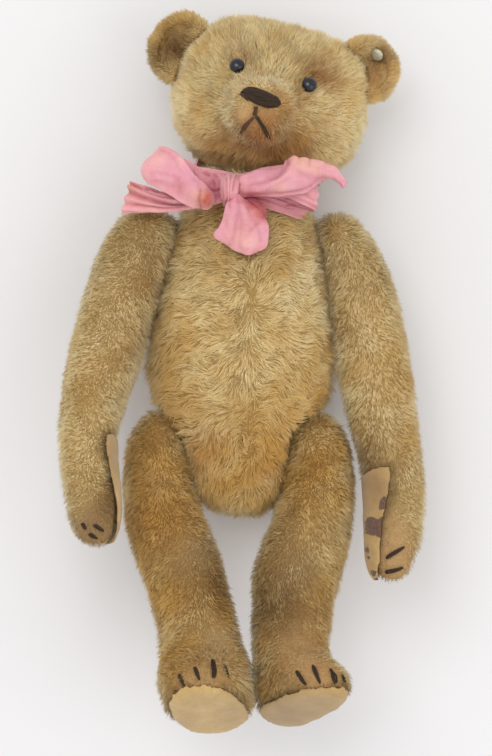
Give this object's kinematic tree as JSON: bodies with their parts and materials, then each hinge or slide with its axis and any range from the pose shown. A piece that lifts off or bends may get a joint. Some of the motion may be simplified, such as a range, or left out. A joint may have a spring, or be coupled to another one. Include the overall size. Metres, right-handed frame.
{
  "type": "threadbare teddy bear",
  "caption": "Old mohair teddy bear lying on its back, with a head and limbs that turn on hidden disc joints, felt paws, stitched claws and a faded ribbon bow.",
  "frame": {"origin": "centre of the flat spot on its back that it lies on", "axes": "+Y from the back spot to the head, +Z out of its front, +X to its own left"},
  "size_m": [0.1628, 0.3261, 0.1207],
  "materials": {
    "mohair": "golden beige mohair pile, worn thin and dulled",
    "worn_mohair": "brown, worn and matted mohair of the ears",
    "felt": "tan wool felt, rubbed and moth-eaten",
    "thread": "dark brown embroidery thread",
    "boot_button": "black lacquered button, glossy",
    "nickel": "dull nickel-plated metal with a rusty rim",
    "ribbon": "pink ribbed silk ribbon, faded to yellow at its folds",
    "cardboard": "stiff brown board",
    "steel": "plain bright steel"
  },
  "bodies": {
    "torso": {"torso": "mohair", "ribbon": "ribbon", "neck_torso_disc": "cardboard", "neck_torso_washer": "steel", "neck_pin": "steel", "shoulder_left_torso_disc": "cardboard", "shoulder_left_torso_washer": "steel", "shoulder_left_pin": "steel", "hip_left_torso_disc": "cardboard", "hip_left_torso_washer": "steel", "hip_left_pin": "steel", "shoulder_right_torso_disc": "cardboard", "shoulder_right_torso_washer": "steel", "shoulder_right_pin": "steel", "hip_right_torso_disc": "cardboard", "hip_right_torso_washer": "steel", "hip_right_pin": "steel"},
    "head": {"head": "mohair", "ear_left": "worn_mohair", "ear_right": "worn_mohair", "eye_left": "boot_button", "eye_right": "boot_button", "nose_stitching": "thread", "mouth_stitching": "thread", "ear_button": "nickel", "neck_head_disc": "cardboard", "neck_head_washer": "steel"},
    "arm_left": {"arm_left": "mohair", "paw_pad_left": "felt", "claw_arm_left_1": "thread", "claw_arm_left_2": "thread", "shoulder_left_arm_disc": "cardboard", "shoulder_left_arm_washer": "steel"},
    "leg_left": {"leg_left": "mohair", "sole_pad_left": "felt", "claw_leg_left_1": "thread", "claw_leg_left_2": "thread", "claw_leg_left_3": "thread", "claw_leg_left_4": "thread", "hip_left_leg_disc": "cardboard", "hip_left_leg_washer": "steel"},
    "arm_right": {"arm_right": "mohair", "paw_pad_right": "felt", "claw_arm_right_1": "thread", "claw_arm_right_2": "thread", "claw_arm_right_3": "thread", "shoulder_right_arm_disc": "cardboard", "shoulder_right_arm_washer": "steel"},
    "leg_right": {"leg_right": "mohair", "sole_pad_right": "felt", "claw_leg_right_1": "thread", "claw_leg_right_2": "thread", "claw_leg_right_3": "thread", "claw_leg_right_4": "thread", "hip_right_leg_disc": "cardboard", "hip_right_leg_washer": "steel"}
  },
  "joints": [
    {"name": "neck", "type": "hinge", "parent": "torso", "child": "head", "pos_m": [0.002, 0.086, 0.038], "axis": [0.2588, 0.9659, 0], "continuous": true},
    {"name": "shoulder_left", "type": "hinge", "parent": "torso", "child": "arm_left", "pos_m": [0.035, 0.046, 0.038], "axis": [-0.9925, -0.1219, 0], "range_deg": [-115, 80]},
    {"name": "shoulder_right", "type": "hinge", "parent": "torso", "child": "arm_right", "pos_m": [-0.0335, 0.046, 0.038], "axis": [-0.9781, 0.2079, 0], "range_deg": [-135, 50]},
    {"name": "hip_left", "type": "hinge", "parent": "torso", "child": "leg_left", "pos_m": [0.018, -0.044, 0.038], "axis": [-0.9903, 0.1392, 0], "range_deg": [-50, 30]},
    {"name": "hip_right", "type": "hinge", "parent": "torso", "child": "leg_right", "pos_m": [-0.0255, -0.044, 0.038], "axis": [-0.9903, -0.1392, 0], "range_deg": [-50, 50]}
  ]
}
